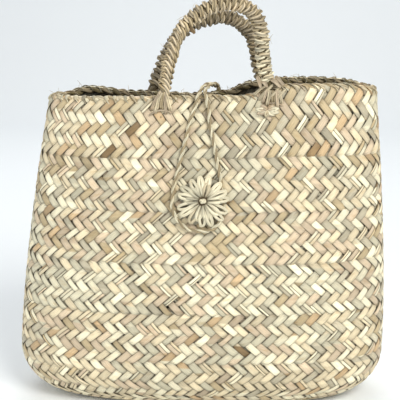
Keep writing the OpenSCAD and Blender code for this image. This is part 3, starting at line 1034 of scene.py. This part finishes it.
def make_rosette():
    """Loops of split leaf: a shaded round below, then an outer and an inner one."""
    petals = Strands()
    for count, reach, base, gape, wide, shade in ROUNDS:
        for k in range(count):
            middle = 2 * math.pi * (k + rng.uniform(-0.22, 0.22)) / count
            tip = reach * rng.uniform(0.92, 1.0) - 0.9 * math.sin(middle)
            h = base + rng.uniform(-0.6, 0.9)
            skewed = rng.uniform(-0.06, 0.06)
            g = gape * rng.uniform(0.8, 1.2)
            width = wide * rng.uniform(0.85, 1.1)
            route = [on_rosette(4.2, middle - 0.2, h - 2.6),
                     on_rosette(tip * 0.42, middle - g * 1.3, h + 0.6),
                     on_rosette(tip * 0.75, middle - g, h),
                     on_rosette(tip * 0.95, middle - g * 0.5, h - 2.6),
                     on_rosette(tip, middle + skewed, h - 4.4),
                     on_rosette(tip * 0.95, middle + g * 0.5, h - 2.9),
                     on_rosette(tip * 0.75, middle + g, h - 0.6),
                     on_rosette(tip * 0.42, middle + g * 1.3, h + 0.2),
                     on_rosette(4.2, middle + 0.2, h - 2.6)]
            tint = [CREAM, CREAM, CREAM, STRAW, SAGE][rng.integers(5)] * rng.uniform(0.82, 1.06)
            path = resample(smooth_path(route, 6), 1.1)
            # painted shade: loops darken towards the hub, where they crowd together and shade
            # one another
            out = np.clip((np.linalg.norm(path - CENTRE, axis=-1) - 9) / 9, 0, 1)[:, None]
            add_tube(petals, path, width / 2 * (0.6 + 0.4 * out[:, 0]),
                     tint * shade * (0.45 + 0.58 * out), sides=14, flat=0.5, lobes=4, spin=0.06,
                     lobe=0.06, groove=0.3, normals=AXIS[None])
    petals.make("rosette_loops", PETAL, "basket", "rosette", "rosette_petals")


def make_rosette_fixings():
    """The knot at its centre, the coil behind it, and the stem and toggle that hold it."""
    heart = knot_strands(on_rosette(0, 0, 9.5), 2.4, 1.6, CREAM)
    heart.make("rosette_centre", PETAL, "basket", "rosette", "rosette_heart")

    turns = np.linspace(0, 3.5 * 2 * math.pi, 160)
    coil = np.array([on_rosette(1.5 + 6.8 * a / turns[-1], a, 6.8) for a in turns])
    disc = Strands()
    # painted shade: the coil is dark so that the gaps between loops near the hub read as shadow
    add_tube(disc, coil, 1.25, BROWN * 0.5, sides=8, lobes=3, spin=0.6)
    disc.make("rosette_back", CORD, "basket", "lashing", "rosette_disc")

    shank = Strands()
    stem = np.array([on_rosette(0, 0, h) for h in np.linspace(-8, 6, 15)])
    add_twist(shank, stem, 2, 1.0, 0.9, 10, [KHAKI, STRAW])
    shank.make("rosette_stem", CORD, "basket", "lashing", "rosette_shank")

    stop = knot_strands(on_rosette(0, 0, -12.5), 3.6, 2.1, KHAKI)
    stop.make("rosette_toggle", CORD, "basket", "knot", "rosette_stop")


make_rosette()
make_rosette_fixings()

# ---- room: floor, backdrop and soft light ----


def plain_material(name, colour):
    material = bpy.data.materials.new(name)
    material.use_nodes = True
    shader = material.node_tree.nodes["Principled BSDF"]
    shader.inputs["Base Color"].default_value = (*colour, 1)
    shader.inputs["Roughness"].default_value = 0.9
    return material


def make_stage():
    """A pale floor that curves up into a backdrop."""
    back, r, top = 1.6, 0.5, 3.0
    curve = np.linspace(0.15, 1.57, 9)
    depth = [-2.5, back] + [back + r * math.sin(a) for a in curve] + [back + r]
    height = [0, 0] + [r - r * math.cos(a) for a in curve] + [top]
    points = [(x, y, z) for y, z in zip(depth, height) for x in (-4, 4)]
    faces = [(2 * i, 2 * i + 1, 2 * i + 3, 2 * i + 2) for i in range(len(depth) - 1)]
    mesh = bpy.data.meshes.new("studio")
    mesh.from_pydata(points, [], faces)
    for face in mesh.polygons:
        face.use_smooth = True
    add_object("studio", mesh, plain_material("studio", (0.86, 0.89, 0.91)))


def area_light(name, place, target, size, power, colour):
    """Rectangular light at a place, turned to face a target."""
    data = bpy.data.lights.new(name, "AREA")
    data.shape = "RECTANGLE"
    data.size, data.size_y = size
    data.energy = power
    data.color = colour
    light = bpy.data.objects.new(name, data)
    light.location = place
    aim = np.array(target) - np.array(place)
    yaw = math.atan2(aim[1], aim[0])
    flat = math.hypot(aim[0], aim[1])
    light.rotation_euler = (math.atan2(flat, -aim[2]), 0, yaw - math.pi / 2)
    bpy.context.scene.collection.objects.link(light)


def make_lights():
    world = bpy.data.worlds.new("sky")
    world.use_nodes = True
    shade = world.node_tree.nodes["Background"]
    shade.inputs["Color"].default_value = (0.97, 0.985, 1.0, 1)
    shade.inputs["Strength"].default_value = 0.52
    bpy.context.scene.world = world
    area_light("key", (0.9, -1.35, 1.6), (0, 0, 0.15), (0.9, 0.9), 34, (1.0, 0.98, 0.93))
    area_light("fill", (-1.5, -1.0, 0.9), (0, 0, 0.2), (1.4, 1.4), 9, (0.95, 0.98, 1.0))
    area_light("back", (-0.2, 1.3, 1.6), (0, 0, 0.25), (1.6, 0.9), 12, (1.0, 1.0, 1.0))


make_stage()
make_lights()
bpy.context.scene.view_settings.view_transform = "Standard"
